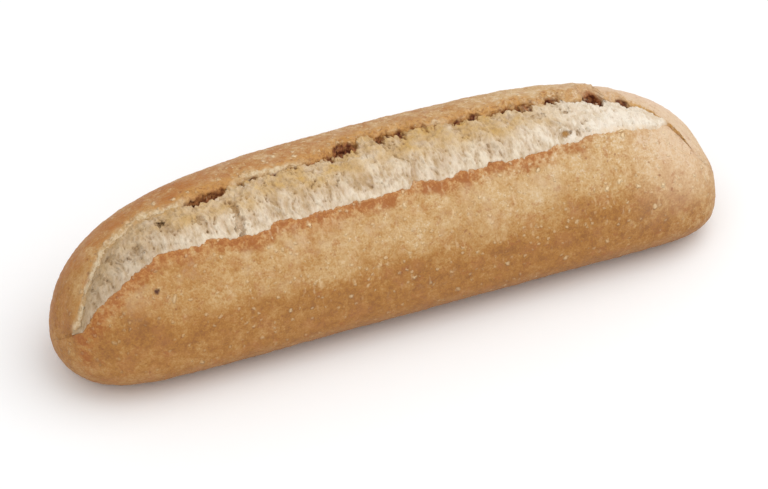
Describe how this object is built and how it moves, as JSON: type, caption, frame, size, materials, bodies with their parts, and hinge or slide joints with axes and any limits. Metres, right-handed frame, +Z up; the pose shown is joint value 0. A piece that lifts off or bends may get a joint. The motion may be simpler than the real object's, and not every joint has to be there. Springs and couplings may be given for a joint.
{
  "type": "bolillo roll",
  "caption": "Long crusty wheat bread roll with blunt round ends, a flat base and one lengthwise score torn open under a curled ear of crust.",
  "frame": {"origin": "on the floor, under the middle of the bounding box", "axes": "+X along the loaf towards its blunter end, +Y away from the open side of the score, +Z up"},
  "size_m": [0.2, 0.0574, 0.0479],
  "materials": {
    "crust": "golden brown baked crust with pale flecks, satin",
    "crumb": "pale cream torn crumb, matt"
  },
  "bodies": {
    "root": {"bolillo_roll": "crust"}
  },
  "joints": []
}
